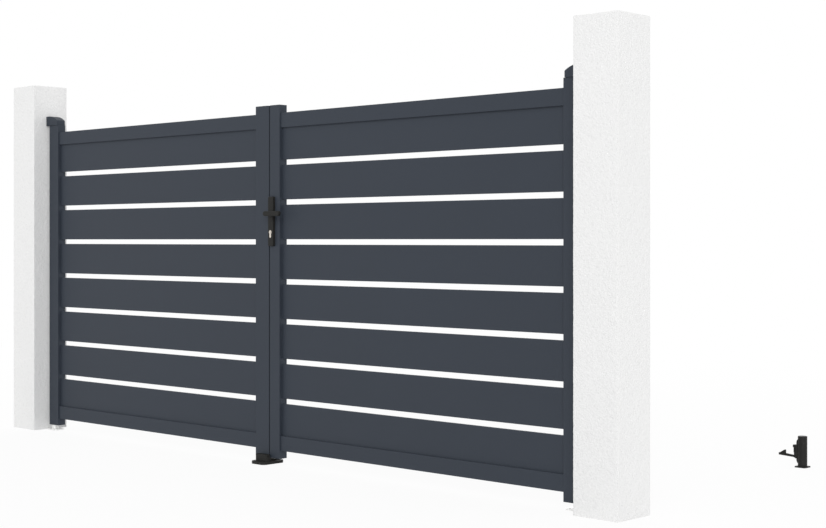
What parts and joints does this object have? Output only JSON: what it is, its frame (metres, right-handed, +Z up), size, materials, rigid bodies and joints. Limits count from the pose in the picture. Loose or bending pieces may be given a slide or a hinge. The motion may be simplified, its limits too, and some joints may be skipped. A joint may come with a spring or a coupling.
{
  "type": "double swing gate",
  "caption": "Two-leaf swing gate of level slats in slim frames, on pivot hinges between square rendered pillars, with a lever lock, a floor stop and spring keepers.",
  "frame": {"origin": "middle of the left pillar's foot, on the ground, as seen from the street", "axes": "+X along the gate to the right pillar, +Y away from the street, the way the leaves open, +Z up"},
  "size_m": [3.892, 1.625, 1.786],
  "materials": {
    "render": "rough white render on masonry",
    "anthracite": "fine-textured powder coat on aluminium",
    "black": "satin black coat",
    "zinc": "zinc plated steel",
    "steel": "brushed stainless steel",
    "nickel": "satin nickel"
  },
  "bodies": {
    "root": {"left_pillar": "render", "left_hinge_hood": "anthracite", "left_top_pin": "steel", "left_floor_pivot": "zinc", "left_keeper": "black", "right_pillar": "render", "right_hinge_hood": "anthracite", "right_top_pin": "steel", "right_floor_pivot": "zinc", "right_keeper": "black", "centre_stop": "black"},
    "left_leaf": {"left_hinge_stile": "anthracite", "left_meeting_stile": "anthracite", "left_top_rail": "anthracite", "left_bottom_rail": "anthracite", "strike_plate": "steel", "left_slat_1": "anthracite", "left_slat_2": "anthracite", "left_slat_3": "anthracite", "left_slat_4": "anthracite", "left_slat_5": "anthracite", "left_slat_6": "anthracite", "left_slat_7": "anthracite", "left_slat_8": "anthracite"},
    "right_leaf": {"right_hinge_stile": "anthracite", "right_meeting_stile": "anthracite", "right_top_rail": "anthracite", "right_bottom_rail": "anthracite", "outer_lock_plate": "black", "inner_lock_plate": "black", "lock_cylinder": "nickel", "lock_edge_plate": "steel", "right_slat_1": "anthracite", "right_slat_2": "anthracite", "right_slat_3": "anthracite", "right_slat_4": "anthracite", "right_slat_5": "anthracite", "right_slat_6": "anthracite", "right_slat_7": "anthracite", "right_slat_8": "anthracite"},
    "lever": {"outer_lever": "black", "inner_lever": "black", "lever_spindle": "steel"},
    "left_catch": {"left_catch": "black"},
    "right_catch": {"right_catch": "black"}
  },
  "joints": [
    {"name": "left_leaf_swing", "type": "hinge", "parent": "root", "child": "left_leaf", "pos_m": [0.142, 0, 0.8], "axis": [0, 0, 1], "range_deg": [0, 90]},
    {"name": "right_leaf_swing", "type": "hinge", "parent": "root", "child": "right_leaf", "pos_m": [3.554, 0, 0.8], "axis": [0, 0, -1], "range_deg": [0, 90]},
    {"name": "lever_turn", "type": "hinge", "parent": "right_leaf", "child": "lever", "pos_m": [1.8828, 0, 1.1], "axis": [0, 1, 0], "range_deg": [0, 40], "stiffness_Nm_per_rad": 1, "springref_deg": -34.38},
    {"name": "left_catch_tilt", "type": "hinge", "parent": "root", "child": "left_catch", "pos_m": [0.108, 1.501, 0.044], "axis": [0, 1, 0], "range_deg": [0, 22], "stiffness_Nm_per_rad": 0.5, "springref_deg": -28.65},
    {"name": "right_catch_tilt", "type": "hinge", "parent": "root", "child": "right_catch", "pos_m": [3.588, 1.501, 0.044], "axis": [0, -1, 0], "range_deg": [0, 22], "stiffness_Nm_per_rad": 0.5, "springref_deg": -28.65}
  ]
}
